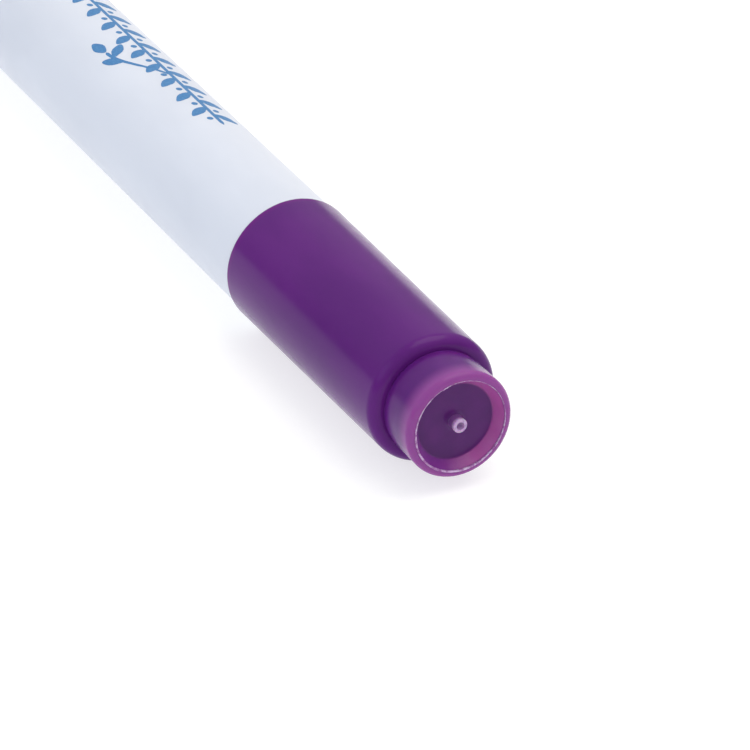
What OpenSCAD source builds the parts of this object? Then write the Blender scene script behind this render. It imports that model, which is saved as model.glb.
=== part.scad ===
// Fibre-tip fabric marking pen with a two-piece push-on cap.
// The pen lies along X with its cap towards +X. The origin is on the pen's axis, halfway along it.

/* [Whole pen] */
// Overall length with the cap on
pen_l = 140; // [130:1:160]
// Outer diameter of the barrel
barrel_d = 10.6; // [10.2:0.1:11.4]
// Wall of the barrel
barrel_wall = 0.9; // [0.8:0.05:1]

/* [Cap] */
// How far the cap's mouth stands proud of the barrel, on the radius
cap_proud = 0.2; // [0.1:0.05:0.4]
// Radius that the sleeve loses from its mouth to its shoulder
cap_draft = 0.2; // [0.1:0.05:0.3]
// Length of the sleeve, from its mouth to its end face
sleeve_l = 25.2; // [24:0.1:27]
// Radius of the rounded shoulder
shoulder_r = 0.9; // [0.5:0.1:1.1]
// Width of the groove between the sleeve's end face and the ring
groove_w = 0.5; // [0.3:0.05:0.7]
// Diameter of the ring at the end of the cap
ring_d = 8.75; // [8.7:0.05:9.1]
// Length of the ring, from the groove to the top of its lip
ring_l = 3.75; // [3:0.05:4.5]
// Radius of the ring's rounded outer lip
lip_r = 0.5; // [0.3:0.05:0.55]
// Diameter of the dish in the ring's end, at its mouth
dish_d = 7.5; // [7.2:0.05:7.55]
// Radius that the dish loses from its mouth to its floor
dish_draft = 0.57; // [0.4:0.01:0.7]
// Depth of the dish
dish_depth = 0.9; // [0.7:0.05:1]
// Diameter of the moulding-gate nub in the dish
nub_d = 1.16; // [0.8:0.02:1.6]

/* [Front section] */
// Radial clearance between the cap's seat and the cap
seat_clear = 0.08; // [0.04:0.01:0.1]
// Length of the cap's seat
seat_l = 6.5; // [5:0.1:6.5]
// Length of the cylinder that the inner cap seals on
seal_l = 5; // [4:0.1:5.5]
// Length of the nose cone
nose_l = 7; // [6:0.1:7.5]
// Diameter of the front end of the nose
nose_tip_d = 3.2; // [2.8:0.1:4]

/* [Nib and ink] */
// Diameter of the nib's rod
nib_d = 2; // [1.6:0.1:2.2]
// Diameter of the nib's rounded point
nib_point_d = 1; // [0.6:0.1:1.4]
// How far the nib stands out of the nose
nib_out = 3; // [2:0.1:3.2]
// Diameter of the fibre bundle
reservoir_d = 7.3; // [6.8:0.1:7.3]
// Thickness of the film round it
film_t = 0.15; // [0.1:0.05:0.15]
// Length of the fibre bundle
reservoir_l = 87.5; // [70:0.5:87.5]

/* [End plug] */
// Length of the plug's flange, which matches the barrel
flange_l = 1.5; // [1:0.1:2]
// Length of the stub that the cap can be posted on
stub_l = 6.5; // [5:0.1:8]

/* [Hidden] */

white = [0.90, 0.92, 0.95];
purple = [0.35, 0.17, 0.45];
pink_purple = [0.56, 0.34, 0.60];
ink_violet = [0.47, 0.20, 0.62];
film_clear = [0.86, 0.88, 0.92];

round_fn = 128;
edge_fn = 64;
turn_overlap = 0.01;                                  // lets the pieces of one profile join
cut = 1;                                              // how far a cut runs past the face it starts from

// Stations along the pen, in mm from its middle
cap_top = pen_l / 2;                                  // top of the ring's lip
ring_x = cap_top - ring_l;                            // back of the ring
sleeve_end = ring_x - groove_w;                       // end face of the sleeve
mouth = sleeve_end - sleeve_l;                        // mouth of the cap
mouth_gap = 0.1;
barrel_front = mouth - mouth_gap;
rear = -pen_l / 2;
barrel_rear = rear + stub_l + flange_l;

// Barrel
barrel_r = barrel_d / 2;
bore_r = barrel_r - barrel_wall;
barrel_edge_r = 0.2;

// Cap sleeve
mouth_r = barrel_r + cap_proud;
shoulder_top_r = mouth_r - cap_draft;
mouth_edge_r = 0.25;
seat_r = bore_r + 0.24;
sleeve_bore_r = seat_r + seat_clear;
seat_room = 1;                                        // straight bore past the end of the seat
sleeve_inner_top_r = sleeve_bore_r - 0.25;
sleeve_floor_t = 1.7;                                 // thickness of the sleeve's end wall
sleeve_floor = sleeve_end - sleeve_floor_t;
sleeve_corner = 0.4;                                  // chamfer in the bore's inner corner
lead_in = 0.3;                                        // chamfer inside the mouth

// Inner cap
ring_r = ring_d / 2;
ring_draft = 0.04;
ring_chamfer = 0.1;
stem_r = bore_r - 0.35;                               // press fit in the sleeve's end wall
foot_r = stem_r + 0.2;                                // bottom of the groove
thimble_r = stem_r - 0.1;
seal_r = thimble_r - 0.67;
seal_clear = 0.07;
thimble_bore_r = seal_r + seal_clear;
thimble_mouth = mouth + 9;
thimble_chamfer = 0.1;
thimble_lead = 0.25;                                  // chamfer inside the thimble's mouth
thimble_corner = 0.7;                                 // chamfer in the thimble's inner corner
dish_r = dish_d / 2;
dish_floor = cap_top - dish_depth;
dish_floor_t = 0.9;
thimble_end = dish_floor - dish_floor_t;              // inner end of the thimble
nub_r = nub_d / 2;
nub_top = cap_top - 0.02;
nub_edge_r = 0.08;
crater_r = nub_r - 0.26;

// Front section
seat_end = mouth + seat_l;
seat_chamfer = 0.15;
seal_start = seat_end + 1.4;
seal_end = seal_start + seal_l;
nose_tip = seal_end + nose_l;
nose_tip_r = nose_tip_d / 2;
nose_edge_r = 0.35;
spigot_end = barrel_front - 10;
spigot_chamfer = 0.2;
cup_r = reservoir_d / 2 + film_t + 0.1;
cup_end = barrel_front - 0.9;
chamber_r = 2.6;                                      // air chamber round the nib, at its wide end
chamber_front_r = 1.7;
bead_h = 0.05;
bead_step = 0.3;                                      // length of the snap bead's flat and of each ramp
nib_r = nib_d / 2;
nib_bore = seal_end + 0.7;                            // where the bore grips the nib
vents = 4;
vent_w = 0.4;
vent_h = 0.25;
vent_stop = nose_tip - 0.8;

// Nib and reservoir
nib_tip = nose_tip + nib_out;
nib_point_r = nib_point_d / 2;
nib_shoulder = nose_tip + 0.5;                        // where the nib starts to taper
nib_rear = mouth - 5;
nib_chamfer = 0.3;
reservoir_front = cup_end - 0.5;
film_back_off = 0.5;

// Barrel ribs and end plug
ribs = 4;
rib_w = 0.8;
rib_r = reservoir_d / 2 + film_t + 0.05;
rib_root = 0.2;                                       // how far a rib runs into the wall
rib_front = spigot_end - 2;
rib_rear = barrel_rear + 15;
stub_r = seat_r + 0.02;
stub_edge_r = 0.7;
stub_floor = rear + 1.4;
stub_corner = 0.6;                                    // chamfer in the core's inner corner
plug_wall = 1;
plug_front = barrel_rear + 13;
plug_chamfer = 0.3;
gate_r = 1.2;
gate_depth = 0.25;

// Turns a profile, drawn as [radius, station], about the pen's axis
module turned() {
    rotate([0, 90, 0]) rotate_extrude($fn = round_fn) children();
}

// The disc of a rounded edge: its outer side is at radius r and its top at station s
module round_edge(r, s, edge_r, up = 1) {
    translate([r - edge_r, s - up * edge_r]) circle(r = edge_r, $fn = edge_fn);
}

module barrel() {
    color(white) {
        turned() {
            polygon([
                [bore_r, barrel_rear], [barrel_r, barrel_rear],
                [barrel_r, barrel_front - barrel_edge_r],
                [barrel_r - barrel_edge_r, barrel_front - barrel_edge_r],
                [barrel_r - barrel_edge_r, barrel_front], [bore_r, barrel_front]
            ]);
            round_edge(barrel_r, barrel_front, barrel_edge_r);
        }
        for (i = [0 : ribs - 1]) rotate([i * 360 / ribs, 0, 0])
            translate([rib_rear, -rib_w / 2, rib_r])
                cube([rib_front - rib_rear, rib_w, bore_r - rib_r + rib_root]);
    }
}

module front_section() {
    color(white) difference() {
        turned() difference() {
            union() {
                polygon([
                    [0, spigot_end], [bore_r - spigot_chamfer, spigot_end],
                    [bore_r, spigot_end + 2 * spigot_chamfer],
                    [bore_r, barrel_front], [seat_r, barrel_front],
                    [seat_r, seat_end - 4 * bead_step], [seat_r + bead_h, seat_end - 3 * bead_step],
                    [seat_r + bead_h, seat_end - 2 * bead_step], [seat_r, seat_end - bead_step],
                    [seat_r - seat_chamfer, seat_end], [seal_r, seal_start], [seal_r, seal_end],
                    [nose_tip_r, nose_tip - nose_edge_r], [nose_tip_r - nose_edge_r, nose_tip - nose_edge_r],
                    [nose_tip_r - nose_edge_r, nose_tip], [0, nose_tip]
                ]);
                round_edge(nose_tip_r, nose_tip, nose_edge_r);
            }
            // the cup for the reservoir, the air chamber round the nib, and the nib's bore
            polygon([
                [-cut, spigot_end - cut], [cup_r, spigot_end - cut],
                [cup_r, cup_end], [chamber_r, cup_end], [chamber_front_r, seal_end],
                [nib_r, nib_bore], [nib_r, nose_tip + cut], [-cut, nose_tip + cut]
            ]);
        }
        // air channels beside the nib
        for (i = [0 : vents - 1]) rotate([i * 360 / vents, 0, 0])
            translate([seal_end, -vent_w / 2, 0]) cube([vent_stop - seal_end, vent_w, nib_r + vent_h]);
    }
}

module nib() {
    color(ink_violet) turned() intersection() {
        union() {
            polygon([
                [0, nib_rear], [nib_r - nib_chamfer, nib_rear], [nib_r, nib_rear + 2 * nib_chamfer],
                [nib_r, nib_shoulder], [nib_point_r, nib_tip - nib_point_r], [0, nib_tip - nib_point_r]
            ]);
            translate([0, nib_tip - nib_point_r]) circle(r = nib_point_r, $fn = edge_fn);
        }
        translate([0, nib_rear]) square([barrel_r, nib_tip - nib_rear]);
    }
}

module ink_reservoir() {
    color(ink_violet) turned() difference() {
        translate([0, reservoir_front - reservoir_l]) square([reservoir_d / 2, reservoir_l]);
        // the hole that the nib has pushed into the fibres
        translate([0, nib_rear]) square([nib_r, mouth - nib_rear]);
    }
}

module reservoir_film() {
    color(film_clear) turned()
        translate([reservoir_d / 2, reservoir_front - reservoir_l + film_back_off])
            square([film_t, reservoir_l - 2 * film_back_off]);
}

module end_plug() {
    color(purple) turned() difference() {
        union() {
            // the stub, the flange and the stem
            translate([0, rear + stub_edge_r]) square([stub_r, stub_l - stub_edge_r + turn_overlap]);
            translate([0, rear]) square([stub_r - stub_edge_r, stub_l]);
            round_edge(stub_r, rear, stub_edge_r, -1);
            translate([0, rear + stub_l + barrel_edge_r])
                square([barrel_r, flange_l - barrel_edge_r]);
            translate([0, rear + stub_l]) square([barrel_r - barrel_edge_r, flange_l]);
            round_edge(barrel_r, rear + stub_l, barrel_edge_r, -1);
            polygon([
                [0, barrel_rear - turn_overlap], [bore_r, barrel_rear - turn_overlap],
                [bore_r, plug_front - 2 * plug_chamfer], [bore_r - plug_chamfer, plug_front], [0, plug_front]
            ]);
        }
        // cored from the front, with a shallow gate recess in the rear face
        polygon([
            [-cut, stub_floor], [stub_r - plug_wall - stub_corner, stub_floor],
            [stub_r - plug_wall, stub_floor + stub_corner],
            [bore_r - plug_wall, plug_front + cut], [-cut, plug_front + cut]
        ]);
        translate([-cut, rear - cut]) square([gate_r + cut, gate_depth + cut]);
    }
}

module cap_sleeve() {
    color(purple) turned() difference() {
        union() {
            polygon([
                [0, mouth], [mouth_r - mouth_edge_r, mouth], [mouth_r - mouth_edge_r, mouth + mouth_edge_r],
                [mouth_r, mouth + mouth_edge_r], [shoulder_top_r, sleeve_end - shoulder_r],
                [shoulder_top_r - shoulder_r, sleeve_end - shoulder_r],
                [shoulder_top_r - shoulder_r, sleeve_end], [0, sleeve_end]
            ]);
            round_edge(mouth_r, mouth, mouth_edge_r, -1);
            round_edge(shoulder_top_r, sleeve_end, shoulder_r);
        }
        polygon([
            [-cut, mouth - cut], [sleeve_bore_r + lead_in, mouth - cut], [sleeve_bore_r + lead_in, mouth],
            [sleeve_bore_r, mouth + 2 * lead_in], [sleeve_bore_r, seat_end + seat_room],
            [sleeve_inner_top_r, sleeve_floor - sleeve_corner],
            [sleeve_inner_top_r - sleeve_corner, sleeve_floor], [stem_r, sleeve_floor],
            [stem_r, sleeve_end + cut], [-cut, sleeve_end + cut]
        ]);
    }
}

module inner_cap() {
    color(pink_purple) turned() difference() {
        union() {
            difference() {
                union() {
                    polygon([
                        [0, thimble_mouth], [thimble_r - thimble_chamfer, thimble_mouth],
                        [thimble_r, thimble_mouth + 2 * thimble_chamfer],
                        [thimble_r, sleeve_floor - thimble_chamfer], [stem_r, sleeve_floor],
                        [stem_r, sleeve_end], [foot_r, sleeve_end], [foot_r, ring_x],
                        [ring_r - ring_draft - ring_chamfer, ring_x],
                        [ring_r - ring_draft, ring_x + ring_chamfer],
                        [ring_r, cap_top - lip_r], [ring_r - lip_r, cap_top - lip_r],
                        [ring_r - lip_r, cap_top], [0, cap_top]
                    ]);
                    round_edge(ring_r, cap_top, lip_r);
                }
                // the dish
                polygon([
                    [-cut, dish_floor], [dish_r - dish_draft, dish_floor], [dish_r, cap_top],
                    [dish_r, cap_top + cut], [-cut, cap_top + cut]
                ]);
            }
            // the gate nub, with a rounded top edge
            translate([0, dish_floor - turn_overlap])
                square([nub_r, nub_top - dish_floor - nub_edge_r + turn_overlap]);
            translate([0, dish_floor]) square([nub_r - nub_edge_r, nub_top - dish_floor]);
            round_edge(nub_r, nub_top, nub_edge_r);
        }
        // the thimble's bore, and the crater in the nub
        polygon([
            [-cut, thimble_mouth - cut], [thimble_bore_r + thimble_lead, thimble_mouth - cut],
            [thimble_bore_r + thimble_lead, thimble_mouth],
            [thimble_bore_r, thimble_mouth + 2 * thimble_lead],
            [thimble_bore_r, thimble_end - thimble_corner],
            [thimble_bore_r - thimble_corner, thimble_end], [-cut, thimble_end]
        ]);
        translate([0, nub_top]) circle(r = crater_r, $fn = edge_fn);
    }
}

barrel();
front_section();
nib();
ink_reservoir();
reservoir_film();
end_plug();
cap_sleeve();
inner_cap();
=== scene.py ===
"""Looks of the fabric marking pen: its plastics, ink and fibre, print and moulding flash, and the studio."""
import math
import random

import bmesh
import bpy
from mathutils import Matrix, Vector


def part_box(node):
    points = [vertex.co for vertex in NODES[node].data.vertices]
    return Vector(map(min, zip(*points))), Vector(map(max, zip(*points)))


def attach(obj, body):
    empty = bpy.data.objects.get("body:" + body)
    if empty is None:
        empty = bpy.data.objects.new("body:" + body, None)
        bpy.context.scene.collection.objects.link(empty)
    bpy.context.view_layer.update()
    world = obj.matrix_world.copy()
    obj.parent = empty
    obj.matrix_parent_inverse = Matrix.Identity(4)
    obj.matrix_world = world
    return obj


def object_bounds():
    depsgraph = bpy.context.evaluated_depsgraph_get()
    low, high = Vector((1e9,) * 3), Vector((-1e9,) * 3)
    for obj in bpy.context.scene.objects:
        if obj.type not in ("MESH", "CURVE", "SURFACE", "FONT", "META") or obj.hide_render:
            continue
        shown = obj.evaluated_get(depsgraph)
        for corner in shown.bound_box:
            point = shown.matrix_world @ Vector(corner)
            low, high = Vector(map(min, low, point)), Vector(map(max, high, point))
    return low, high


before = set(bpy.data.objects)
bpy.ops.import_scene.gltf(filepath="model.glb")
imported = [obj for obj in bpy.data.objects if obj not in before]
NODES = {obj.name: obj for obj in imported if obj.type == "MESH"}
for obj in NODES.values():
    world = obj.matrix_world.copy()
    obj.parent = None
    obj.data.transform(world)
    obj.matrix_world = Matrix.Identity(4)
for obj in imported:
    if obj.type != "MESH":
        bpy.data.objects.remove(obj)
cad_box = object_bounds()

MM = 0.001

# Stations along the pen, in metres, read from the frame
BARREL_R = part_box("barrel")[1].z
MOUTH_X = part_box("cap_sleeve")[0].x
LIP_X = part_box("inner_cap")[1].x
NIB_TIP_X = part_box("nib")[1].x
NOSE_TIP_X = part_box("front_section")[1].x

# The ring's dish, its gate nub and the nub's crater
DISH_R = 3.75 * MM
DISH_FLOOR_R = 3.18 * MM
DISH_DEPTH = 0.9 * MM
NUB_R = 0.58 * MM
NUB_TOP_X = LIP_X - 0.02 * MM
CRATER_R = 0.32 * MM

# The printed border: where it starts, and the angle of its middle round the barrel from the top
PRINT_START = MOUTH_X - 14.8 * MM
PRINT_ANGLE = math.radians(14)
PRINT_LIFT = 0.015 * MM

# The moulding flash round the dish: its thicker side, as an angle from +Y towards +Z, and its random seed
FLASH_THICK_SIDE = math.radians(-105)
FLASH_SEED = 7

# The camera: its angles in degrees, its distance in metres and its lens in millimetres
CAMERA_AZIMUTH = 63.7
CAMERA_ELEVATION = 28.8
CAMERA_DISTANCE = 0.418
CAMERA_LENS = 264
LOOK_AT = Vector((57.85, -1.09, -1.37)) * MM

# The studio: the sky's strength at its foot, where it meets the floor, low down and overhead
FOOT_LIGHT = 1.00
HORIZON_LIGHT = 0.35
ZENITH_LIGHT = 0.83
SKY_COLOUR = (0.95, 0.965, 1.0, 1)
FLOOR_HALF_WIDTH = 2.5

# The two softboxes: place and size in metres, power in watts, and colour
KEY = {"location": (0.15, 0.32, 1.00), "size": (0.9, 0.9), "power": 5.6, "colour": (1.0, 0.94, 0.82)}
FILL = {"location": (0.05, -0.90, 0.60), "size": (0.9, 0.6), "power": 1.2, "colour": (0.50, 0.76, 1.0)}

# Colours, in linear RGB
BARREL_WHITE = (0.665, 0.695, 0.778)
BARREL_WHITE_LIGHT = (0.700, 0.730, 0.813)
SECTION_WHITE = (0.66, 0.67, 0.69)
SECTION_WHITE_LIGHT = (0.70, 0.71, 0.73)
INK_STAIN = (0.30, 0.12, 0.48)
NIB_DRY = (0.20, 0.05, 0.36)
NIB_WET = (0.09, 0.015, 0.20)
FIBRE_DRY = (0.30, 0.12, 0.48)
FIBRE_WET = (0.18, 0.04, 0.34)
PURPLE = (0.094, 0.010, 0.160)
PURPLE_LIGHT = (0.114, 0.013, 0.184)
PURPLE_EDGE = (0.190, 0.012, 0.200)
DISH_PURPLE = (0.086, 0.013, 0.134)
DISH_PURPLE_LIGHT = (0.100, 0.015, 0.150)
# painted light: lighter than the dish floor, to cancel the shade on and round the nub
NUB_SHADE_LIFT_PURPLE = (0.225, 0.087, 0.300)
# the dish wall's two colours are painted shade (violet) and painted glow (magenta)
WALL_SHADE_VIOLET = (0.205, 0.038, 0.270)
WALL_GLOW_MAGENTA = (0.390, 0.085, 0.330)
# RING_PINK: the lip's painted glow of light coming through the thin plastic; also the flash's base colour
RING_PINK = (0.262, 0.062, 0.285)
STRESS_WHITE = (0.58, 0.44, 0.66)
PRINT_BLUE = (0.042, 0.180, 0.420)
PRINT_BLUE_LIGHT = (0.068, 0.240, 0.500)
FILM_TINT = (0.80, 0.83, 0.90)
FILM_TINT_LIGHT = (0.90, 0.91, 0.94)
PAPER = (0.41, 0.41, 0.415)
PAPER_LIGHT = (0.43, 0.43, 0.43)


# ---------------------------------------------------------------- shader helpers

def add_node(tree, kind, inputs=None, **settings):
    """Adds a shader node, with its settings and its inputs, each a value or another node's output."""
    node = tree.nodes.new(kind)
    for name, value in settings.items():
        setattr(node, name, value)
    for key, value in (inputs or {}).items():
        if isinstance(value, bpy.types.NodeSocket):
            tree.links.new(value, node.inputs[key])
        else:
            node.inputs[key].default_value = value
    return node


def new_material(name, **shader_inputs):
    """A material with a Principled shader, and its node tree."""
    material = bpy.data.materials.new(name)
    material.use_nodes = True
    tree = material.node_tree
    tree.nodes.clear()
    output = add_node(tree, "ShaderNodeOutputMaterial")
    shader = add_node(tree, "ShaderNodeBsdfPrincipled")
    tree.links.new(shader.outputs["BSDF"], output.inputs["Surface"])
    for key, value in shader_inputs.items():
        shader.inputs[key.replace("_", " ")].default_value = value
    return material, tree, shader


def object_coords(tree, stretch=(1, 1, 1)):
    """Object coordinates in metres, scaled along each axis to stretch a texture."""
    coords = add_node(tree, "ShaderNodeTexCoord").outputs["Object"]
    return add_node(tree, "ShaderNodeMapping", {"Vector": coords, "Scale": stretch}).outputs["Vector"]


def noise(tree, size, detail=3, roughness=0.5, stretch=(1, 1, 1)):
    """Noise with grains about size metres across; a stretch below 1 draws them out along that axis."""
    inputs = {"Vector": object_coords(tree, stretch), "Scale": 1 / size}
    inputs.update({"Detail": detail, "Roughness": roughness})
    return add_node(tree, "ShaderNodeTexNoise", inputs).outputs["Fac"]


def remap(tree, value, low, high, to_low=0, to_high=1):
    """value, mapped smoothly from low..high to to_low..to_high and clamped."""
    inputs = {"Value": value, "From Min": low, "From Max": high, "To Min": to_low, "To Max": to_high}
    node = add_node(tree, "ShaderNodeMapRange", inputs, interpolation_type="SMOOTHSTEP")
    return node.outputs["Result"]


def calc(tree, operation, a, b=0.0):
    """One sum on two values or sockets."""
    return add_node(tree, "ShaderNodeMath", {0: a, 1: b}, operation=operation).outputs[0]


def mix_colour(tree, factor, a, b):
    """Colour a where factor is 0 and b where it is 1. Colours are linear RGB or sockets."""
    node = add_node(tree, "ShaderNodeMix", data_type="RGBA")
    for key, value in ((0, factor), (6, a), (7, b)):
        if isinstance(value, bpy.types.NodeSocket):
            tree.links.new(value, node.inputs[key])
        else:
            node.inputs[key].default_value = value if key == 0 else (*value, 1)
    return node.outputs[2]


def position(tree, axis):
    """The distance along one object axis, in metres, as a socket. X runs along the pen."""
    return add_node(tree, "ShaderNodeSeparateXYZ", {"Vector": object_coords(tree)}).outputs[axis]


def from_axis(tree):
    """The distance from the pen's axis, in metres, as a socket."""
    flat = object_coords(tree, (0, 1, 1))
    return add_node(tree, "ShaderNodeVectorMath", {0: flat}, operation="LENGTH").outputs["Value"]


def set_bump(tree, shader, height, strength, distance):
    """Bumps the shader's surface by height, a socket from 0 to 1 that stands for distance in metres."""
    bump = add_node(tree, "ShaderNodeBump", {"Height": height, "Strength": strength, "Distance": distance})
    tree.links.new(bump.outputs["Normal"], shader.inputs["Normal"])


def scuffs(tree, length, width, amount):
    """Fine hairline scuffs, mostly along the pen: 1 on a scuff and 0 elsewhere."""
    grain = noise(tree, width, detail=2, stretch=(width / length, 1, 1))
    patches = remap(tree, noise(tree, 5 * MM, detail=2), 0.5, 0.7)
    return calc(tree, "MULTIPLY", remap(tree, grain, 1 - amount - 0.06, 1 - amount), patches)


# ---------------------------------------------------------------- materials

def moulded_plastic(name, dark, light, roughness, specular, subsurface, radius, wear=1.0):
    """Satin moulded polypropylene: cloudy colour, pigment specks, hairline scuffs and a faint orange peel."""
    material, tree, shader = new_material(
        name, IOR=1.49, Specular_IOR_Level=specular, Subsurface_Weight=subsurface,
        Subsurface_Scale=0.6 * MM, Subsurface_Radius=radius)
    cloud = remap(tree, noise(tree, 6 * MM, detail=3, stretch=(0.4, 1, 1)), 0.35, 0.65)
    colour = mix_colour(tree, cloud, dark, light)
    specks = remap(tree, noise(tree, 0.12 * MM, detail=1), 0.68, 0.76, 0, 0.5)
    colour = mix_colour(tree, specks, colour, light)
    scuff = calc(tree, "MULTIPLY", scuffs(tree, 2.5 * MM, 0.05 * MM, 0.32), wear)
    patchy = remap(tree, noise(tree, 1.2 * MM, detail=5), 0.3, 0.7, roughness - 0.03, roughness + 0.05)
    tree.links.new(calc(tree, "ADD", patchy, calc(tree, "MULTIPLY", scuff, 0.10)), shader.inputs["Roughness"])
    peel = calc(tree, "MULTIPLY", noise(tree, 0.35 * MM, detail=2), 0.5)
    pits = calc(tree, "MULTIPLY", noise(tree, 0.09 * MM, detail=3, roughness=0.6), 0.3)
    height = calc(tree, "SUBTRACT", calc(tree, "ADD", peel, pits), calc(tree, "MULTIPLY", scuff, 0.25))
    set_bump(tree, shader, height, 0.10, 0.006 * MM)
    return material, tree, shader, colour


def purple_plastic():
    """The cap's and plug's plastic. It is redder at the cap's thin mouth, where light comes through."""
    material, tree, shader, colour = moulded_plastic(
        "purple_plastic", PURPLE, PURPLE_LIGHT, 0.17, 0.14, 0.15, (1.0, 0.25, 1.2), wear=0.5)
    station = position(tree, "X")
    thin = remap(tree, station, MOUTH_X + 0.9 * MM, MOUTH_X, 0, 0.5)
    in_cap = calc(tree, "GREATER_THAN", station, MOUTH_X - 1 * MM)
    colour = mix_colour(tree, calc(tree, "MULTIPLY", thin, in_cap), colour, PURPLE_EDGE)
    tree.links.new(colour, shader.inputs["Base Color"])
    return material


def ring_plastic():
    """The inner cap's plastic: pinker at the ring's thin lip, a painted glow for light coming through it;
    duller in the dish; its wall painted in shade and glow; painted lighter on the nub and round it; chalky on
    the nub.
    """
    material, tree, shader, colour = moulded_plastic(
        "ring_plastic", PURPLE, PURPLE_LIGHT, 0.22, 0.19, 0.45, (1.5, 0.25, 0.8), wear=0.2)
    radius = from_axis(tree)
    station = position(tree, "X")
    # painted glow: the plastic turns pinker towards the lip, standing in for light coming through the thin
    # ring
    near_lip = remap(tree, station, LIP_X - 2.0 * MM, LIP_X - 0.3 * MM)
    colour = mix_colour(tree, near_lip, colour, RING_PINK)

    # the dish's wall, violet on one side and magenta on the other: painted shade on the -Y side and a painted
    # glow on the +Y side, where the key light comes through the thin wall
    in_dish = calc(tree, "MULTIPLY", remap(tree, radius, DISH_R, DISH_R - 0.12 * MM),
                   calc(tree, "GREATER_THAN", station, LIP_X - DISH_DEPTH - 0.3 * MM))
    side = remap(tree, position(tree, "Y"), -1.8 * MM, 1.8 * MM)
    wall = mix_colour(tree, side, WALL_SHADE_VIOLET, WALL_GLOW_MAGENTA)
    colour = mix_colour(tree, in_dish, colour, wall)

    # the dish's floor, lighter on the nub and close round it: painted light that cancels the shade on the
    # nub's side and the shadow round its foot
    cloud = remap(tree, noise(tree, 1.5 * MM, detail=4), 0.3, 0.7)
    dish = mix_colour(tree, cloud, DISH_PURPLE, DISH_PURPLE_LIGHT)
    on_nub = remap(tree, radius, NUB_R + 0.06 * MM, NUB_R - 0.01 * MM)
    shade_lift_round_nub = remap(tree, radius, NUB_R + 0.4 * MM, NUB_R, 0, 0.25)
    dish = mix_colour(tree, calc(tree, "MAXIMUM", on_nub, shade_lift_round_nub), dish, NUB_SHADE_LIFT_PURPLE)
    on_floor = remap(tree, radius, DISH_FLOOR_R + 0.05 * MM, DISH_FLOOR_R - 0.16 * MM)
    colour = mix_colour(tree, on_floor, colour, dish)

    # the nub's broken top has turned chalky, most of all on its rim
    at_top = remap(tree, station, NUB_TOP_X - 0.42 * MM, NUB_TOP_X - 0.12 * MM)
    worn = remap(tree, noise(tree, 0.18 * MM, detail=3), 0.25, 0.6, 0.45, 0.80)
    rim = remap(tree, radius, CRATER_R - 0.08 * MM, CRATER_R + 0.08 * MM, 0.62, 1)
    chalk = calc(tree, "MULTIPLY", on_nub, at_top)
    chalk = calc(tree, "MULTIPLY", chalk, calc(tree, "MULTIPLY", worn, rim))
    colour = mix_colour(tree, chalk, colour, STRESS_WHITE)
    tree.links.new(colour, shader.inputs["Base Color"])
    return material


def flash_plastic():
    """The moulding flash round the dish: so thin that it has whitened."""
    material, tree, shader = new_material(
        "flash_plastic", IOR=1.49, Specular_IOR_Level=0.5, Subsurface_Weight=0.4,
        Subsurface_Scale=0.3 * MM, Subsurface_Radius=(1.0, 0.5, 1.0))
    stress = remap(tree, noise(tree, 0.5 * MM, detail=4, roughness=0.7), 0.35, 0.65)
    tree.links.new(mix_colour(tree, stress, RING_PINK, STRESS_WHITE), shader.inputs["Base Color"])
    rough = remap(tree, noise(tree, 0.2 * MM, detail=2), 0.3, 0.7, 0.22, 0.40)
    tree.links.new(rough, shader.inputs["Roughness"])
    return material


def white_plastic(name, dark, light, stain=None):
    """White satin polypropylene. stain is (station, colour): ink tints the plastic towards that station."""
    material, tree, shader, colour = moulded_plastic(name, dark, light, 0.40, 0.12, 0.2, (1.0, 0.95, 0.9))
    if stain:
        station, ink = stain
        reach = remap(tree, position(tree, "X"), station - 2.2 * MM, station)
        blotches = remap(tree, noise(tree, 0.6 * MM, detail=3), 0.35, 0.75)
        colour = mix_colour(tree, calc(tree, "MULTIPLY", reach, blotches), colour, ink)
    tree.links.new(colour, shader.inputs["Base Color"])
    return material


def ink_fibre(name, dry, wet, tip=None):
    """Bonded fibre: fine strands along the pen. tip is a station towards which the ink is darker."""
    material, tree, shader = new_material(name, IOR=1.45, Specular_IOR_Level=0.25, Roughness=0.7)
    strands = noise(tree, 0.05 * MM, detail=3, roughness=0.7, stretch=(0.03, 1, 1))
    factor = remap(tree, strands, 0.35, 0.65)
    if tip is not None:
        soaked = remap(tree, position(tree, "X"), tip - 1.2 * MM, tip - 0.2 * MM)
        factor = calc(tree, "MAXIMUM", factor, soaked)
    tree.links.new(mix_colour(tree, factor, dry, wet), shader.inputs["Base Color"])
    set_bump(tree, shader, strands, 0.8, 0.03 * MM)
    return material


def print_ink():
    """Blue pad-printed ink: slightly uneven cover."""
    material, tree, shader = new_material("print_ink", IOR=1.5, Specular_IOR_Level=0.4)
    cover = remap(tree, noise(tree, 0.18 * MM, detail=4, roughness=0.7), 0.3, 0.7)
    tree.links.new(mix_colour(tree, cover, PRINT_BLUE, PRINT_BLUE_LIGHT), shader.inputs["Base Color"])
    rough = remap(tree, noise(tree, 0.3 * MM, detail=2), 0.3, 0.7, 0.35, 0.5)
    tree.links.new(rough, shader.inputs["Roughness"])
    return material


def clear_film():
    """The wrap round the fibre bundle: clear film, slightly crinkled along the pen."""
    material, tree, shader = new_material("clear_film", IOR=1.49, Alpha=0.35)
    crinkle = noise(tree, 0.8 * MM, detail=3, stretch=(0.3, 1, 1))
    tree.links.new(remap(tree, crinkle, 0.3, 0.7, 0.12, 0.3), shader.inputs["Roughness"])
    tint = mix_colour(tree, remap(tree, crinkle, 0.3, 0.7), FILM_TINT, FILM_TINT_LIGHT)
    tree.links.new(tint, shader.inputs["Base Color"])
    set_bump(tree, shader, crinkle, 0.5, 0.05 * MM)
    return material


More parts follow.
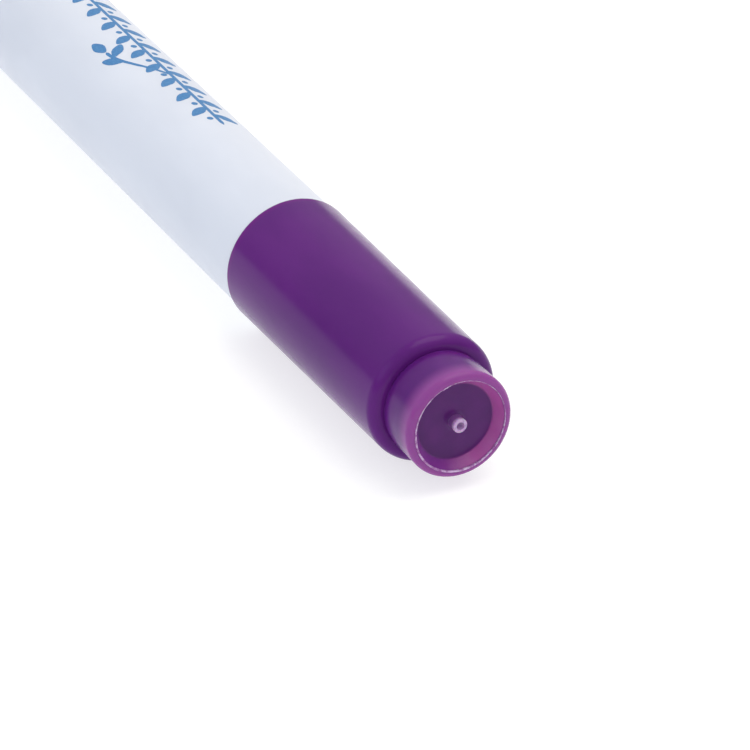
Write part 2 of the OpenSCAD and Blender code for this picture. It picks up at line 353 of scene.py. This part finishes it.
def floor_paper():
    """White paper on a light table: a little light comes through it."""
    material, tree, shader = new_material(
        "floor_paper", Specular_IOR_Level=0.2, Roughness=0.7, Emission_Strength=0.68)
    fibres = remap(tree, noise(tree, 0.6 * MM, detail=3), 0.3, 0.7)
    tree.links.new(mix_colour(tree, fibres, PAPER, PAPER_LIGHT), shader.inputs["Base Color"])
    return material


def paint(material, *names):
    """Assigns the material to every slot of these CAD nodes."""
    for name in names:
        data = NODES[name].data
        if not data.materials:
            data.materials.append(material)
        for i in range(len(data.materials)):
            data.materials[i] = material


# ---------------------------------------------------------------- the printed border

def on_barrel(x, arc, lift):
    """The point at station x, an arc length round from the print's middle, and lift above the surface."""
    angle = PRINT_ANGLE + arc / BARREL_R
    r = BARREL_R + lift
    return Vector((x, r * math.sin(angle), r * math.cos(angle)))


def add_line(bm, points, width):
    """A raised printed line with round ends, through points (station, arc length)."""
    points = [Vector(p) for p in points]
    travelled = [0.0]
    for a, b in zip(points, points[1:]):
        travelled.append(travelled[-1] + (b - a).length)
    length = travelled[-1]
    rows = []
    for i, p in enumerate(points):
        run = (points[min(i + 1, len(points) - 1)] - points[max(i - 1, 0)]).normalized()
        across = Vector((-run.y, run.x))
        half = width / 2
        from_end = min(travelled[i], length - travelled[i])
        if from_end < half:
            half = max(math.sqrt(half ** 2 - (half - from_end) ** 2), 0.1 * half)
        left, right = p + across * half, p - across * half
        corners = ((left, -PRINT_LIFT), (left, PRINT_LIFT), (right, PRINT_LIFT), (right, -PRINT_LIFT))
        rows.append([bm.verts.new(on_barrel(*corner, lift)) for corner, lift in corners])
    for a, b in zip(rows, rows[1:]):
        for k in range(4):
            bm.faces.new((a[k], a[(k + 1) % 4], b[(k + 1) % 4], b[k]))
    bm.faces.new(rows[0])
    bm.faces.new(rows[-1])


def add_patch(bm, centre, half_length, half_width, turn, point=0.0, steps=18, rings=4):
    """A raised printed oval at centre, turned by turn radians; point above 0 sharpens its two ends."""
    edges = []
    for lift in (-PRINT_LIFT, PRINT_LIFT):
        hub = bm.verts.new(on_barrel(*centre, lift))
        inner = None
        for ring in range(1, rings + 1):
            row = []
            for i in range(steps):
                t = math.tau * i / steps
                along = half_length * math.cos(t) * ring / rings
                across = half_width * math.sin(t) * (1 - point * abs(math.cos(t))) * ring / rings
                x = centre[0] + along * math.cos(turn) - across * math.sin(turn)
                arc = centre[1] + along * math.sin(turn) + across * math.cos(turn)
                row.append(bm.verts.new(on_barrel(x, arc, lift)))
            for i in range(steps):
                j = (i + 1) % steps
                bm.faces.new((row[i], row[j], inner[j], inner[i]) if inner else (row[i], row[j], hub))
            inner = row
        edges.append(inner)
    low, high = edges
    for i in range(steps):
        j = (i + 1) % steps
        bm.faces.new((low[i], low[j], high[j], high[i]))


def printed_border():
    """A generic border in blue: a straight stem with leaves to either side, berries and one side branch."""
    pairs, pitch = 16, 3.0 * MM
    leaf_length, leaf_width, leaf_turn = 2.1 * MM, 1.05 * MM, math.radians(52)
    stem_width, berry_r = 0.34 * MM, 0.27 * MM
    bm = bmesh.new()

    def leaf(root_x, root_arc, turn):
        """A leaf that grows from its root; turn is its angle from the pen's axis, 0 towards the cap."""
        reach = 0.08 * MM + leaf_length / 2
        centre = (root_x + reach * math.cos(turn), root_arc + reach * math.sin(turn))
        add_patch(bm, centre, leaf_length / 2, leaf_width / 2, turn, point=0.35)

    stem_steps = 120
    stem_length = pairs * pitch
    add_line(bm, [(PRINT_START - stem_length * i / stem_steps, 0) for i in range(stem_steps + 1)], stem_width)
    for i in range(2 * pairs):
        side = -1 if i % 2 else 1
        root = PRINT_START - (0.5 * i + 0.7) * pitch
        leaf(root, 0, side * leaf_turn)
        add_patch(bm, (root + 0.75 * MM, -side * 0.62 * MM), berry_r, berry_r, 0)

    # the side branch: an arc that leaves the stem towards -Y, with leaves of its own
    branch_start, branch_length, branch_reach = PRINT_START - 10.3 * MM, 6.4 * MM, 3.0 * MM
    shares = [i / 30 for i in range(31)]
    branch = [(branch_start - share * branch_length, -branch_reach * math.sin(share * math.pi / 2))
              for share in shares]
    add_line(bm, branch, 0.30 * MM)
    for i, turn in ((18, math.radians(-140)), (24, math.radians(140)), (30, math.radians(-172))):
        leaf(*branch[i], turn)
    return new_piece("printed_border", bm, print_ink(), "pen", smooth=False)


# ---------------------------------------------------------------- pieces

def new_piece(name, bm, material, body, smooth=True):
    """Turns a bmesh into a named piece that rides on a body."""
    bmesh.ops.recalc_face_normals(bm, faces=bm.faces)
    data = bpy.data.meshes.new(name)
    bm.to_mesh(data)
    bm.free()
    data.polygons.foreach_set("use_smooth", [smooth] * len(data.polygons))
    data.materials.append(material)
    piece = bpy.data.objects.new(name, data)
    bpy.context.scene.collection.objects.link(piece)
    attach(piece, body)
    return piece


def lip_flash(material):
    """The thin, uneven flash that the mould leaves round the mouth of the dish, thicker on one side."""
    rng = random.Random(FLASH_SEED)
    steps = 720
    waves = [(rng.randint(2, 24), rng.uniform(0, math.tau), rng.uniform(0.3, 1.0)) for _ in range(9)]
    teeth = [(rng.uniform(0, math.tau), rng.uniform(0.01, 0.03), rng.uniform(0.03, 0.07)) for _ in range(7)]
    bm = bmesh.new()
    rows = []
    for i in range(steps):
        angle = math.tau * i / steps
        swell = sum(a * math.sin(n * angle + phase) for n, phase, a in waves) / len(waves)
        share = 0.42 + 0.58 * math.cos(angle - FLASH_THICK_SIDE) + 0.6 * swell
        height = (0.015 + 0.065 * max(share, 0)) * MM
        for centre, spread, size in teeth:
            away = math.remainder(angle - centre, math.tau)
            height += size * MM * math.exp(-(away / spread) ** 2)
        half = (0.012 + 0.060 * max(share, 0)) * MM
        lean = 0.3 * height
        section = ((DISH_R + half + 0.02 * MM, -0.03 * MM), (DISH_R + half - lean, height),
                   (DISH_R - half - lean, height), (DISH_R - half - 0.02 * MM, -0.06 * MM))
        across, up = math.cos(angle), math.sin(angle)
        rows.append([bm.verts.new((LIP_X + dx, r * across, r * up)) for r, dx in section])
    for i in range(steps):
        a, b = rows[i], rows[(i + 1) % steps]
        for k in range(4):
            bm.faces.new((a[k], a[(k + 1) % 4], b[(k + 1) % 4], b[k]))
    return new_piece("lip_flash", bm, material, "cap")


# ---------------------------------------------------------------- studio

def aimed_at(location, target):
    """The rotation of a lamp or camera at location that looks at target."""
    return (Vector(target) - Vector(location)).to_track_quat("-Z", "Y").to_euler()


def softbox(name, location, size, power, colour):
    """A rectangular area light that points at the middle of the view."""
    data = bpy.data.lights.new(name, "AREA")
    data.shape = "RECTANGLE"
    data.size, data.size_y = size
    data.energy = power
    data.color = colour
    lamp = bpy.data.objects.new(name, data)
    lamp.location = location
    lamp.rotation_euler = aimed_at(location, LOOK_AT)
    bpy.context.scene.collection.objects.link(lamp)


def studio():
    """A soft sky, two softboxes and the floor."""
    scene = bpy.context.scene
    world = bpy.data.worlds.new("studio")
    world.use_nodes = True
    tree = world.node_tree
    background = tree.nodes["Background"]
    background.inputs["Color"].default_value = SKY_COLOUR
    direction = add_node(tree, "ShaderNodeTexCoord").outputs["Generated"]
    height = add_node(tree, "ShaderNodeSeparateXYZ", {"Vector": direction}).outputs["Z"]
    sky = remap(tree, height, 0, 0.6, HORIZON_LIGHT, ZENITH_LIGHT)
    foot = remap(tree, height, 0.02, 0.10, FOOT_LIGHT, 0)
    tree.links.new(calc(tree, "MAXIMUM", sky, foot), background.inputs["Strength"])
    scene.world = world
    scene.view_settings.view_transform = "Standard"
    softbox("key", **KEY)
    softbox("fill", **FILL)

    bm = bmesh.new()
    bmesh.ops.create_grid(bm, x_segments=8, y_segments=8, size=FLOOR_HALF_WIDTH)
    data = bpy.data.meshes.new("floor")
    bm.to_mesh(data)
    bm.free()
    data.materials.append(floor_paper())
    floor = bpy.data.objects.new("floor", data)
    floor.location.z = cad_box[0].z
    scene.collection.objects.link(floor)


def camera():
    """The camera, at the photograph's viewing angle."""
    azimuth, elevation = math.radians(CAMERA_AZIMUTH), math.radians(CAMERA_ELEVATION)
    back = Vector((math.sin(azimuth) * math.cos(elevation), -math.cos(azimuth) * math.cos(elevation),
                   math.sin(elevation)))
    data = bpy.data.cameras.new("camera")
    data.lens = CAMERA_LENS
    data.sensor_width = 36
    data.clip_start, data.clip_end = 0.01, 20
    cam = bpy.data.objects.new("camera", data)
    cam.location = LOOK_AT + back * CAMERA_DISTANCE
    cam.rotation_euler = aimed_at(cam.location, LOOK_AT)
    bpy.context.scene.collection.objects.link(cam)
    bpy.context.scene.camera = cam


# ---------------------------------------------------------------- the pen

camera()
studio()
paint(purple_plastic(), "cap_sleeve", "end_plug")
paint(ring_plastic(), "inner_cap")
paint(white_plastic("barrel_plastic", BARREL_WHITE, BARREL_WHITE_LIGHT), "barrel")
stain = (NOSE_TIP_X, INK_STAIN)
paint(white_plastic("section_plastic", SECTION_WHITE, SECTION_WHITE_LIGHT, stain=stain), "front_section")
paint(ink_fibre("nib_fibre", NIB_DRY, NIB_WET, tip=NIB_TIP_X), "nib")
paint(ink_fibre("reservoir_fibre", FIBRE_DRY, FIBRE_WET), "ink_reservoir")
paint(clear_film(), "reservoir_film")
printed_border()
lip_flash(flash_plastic())
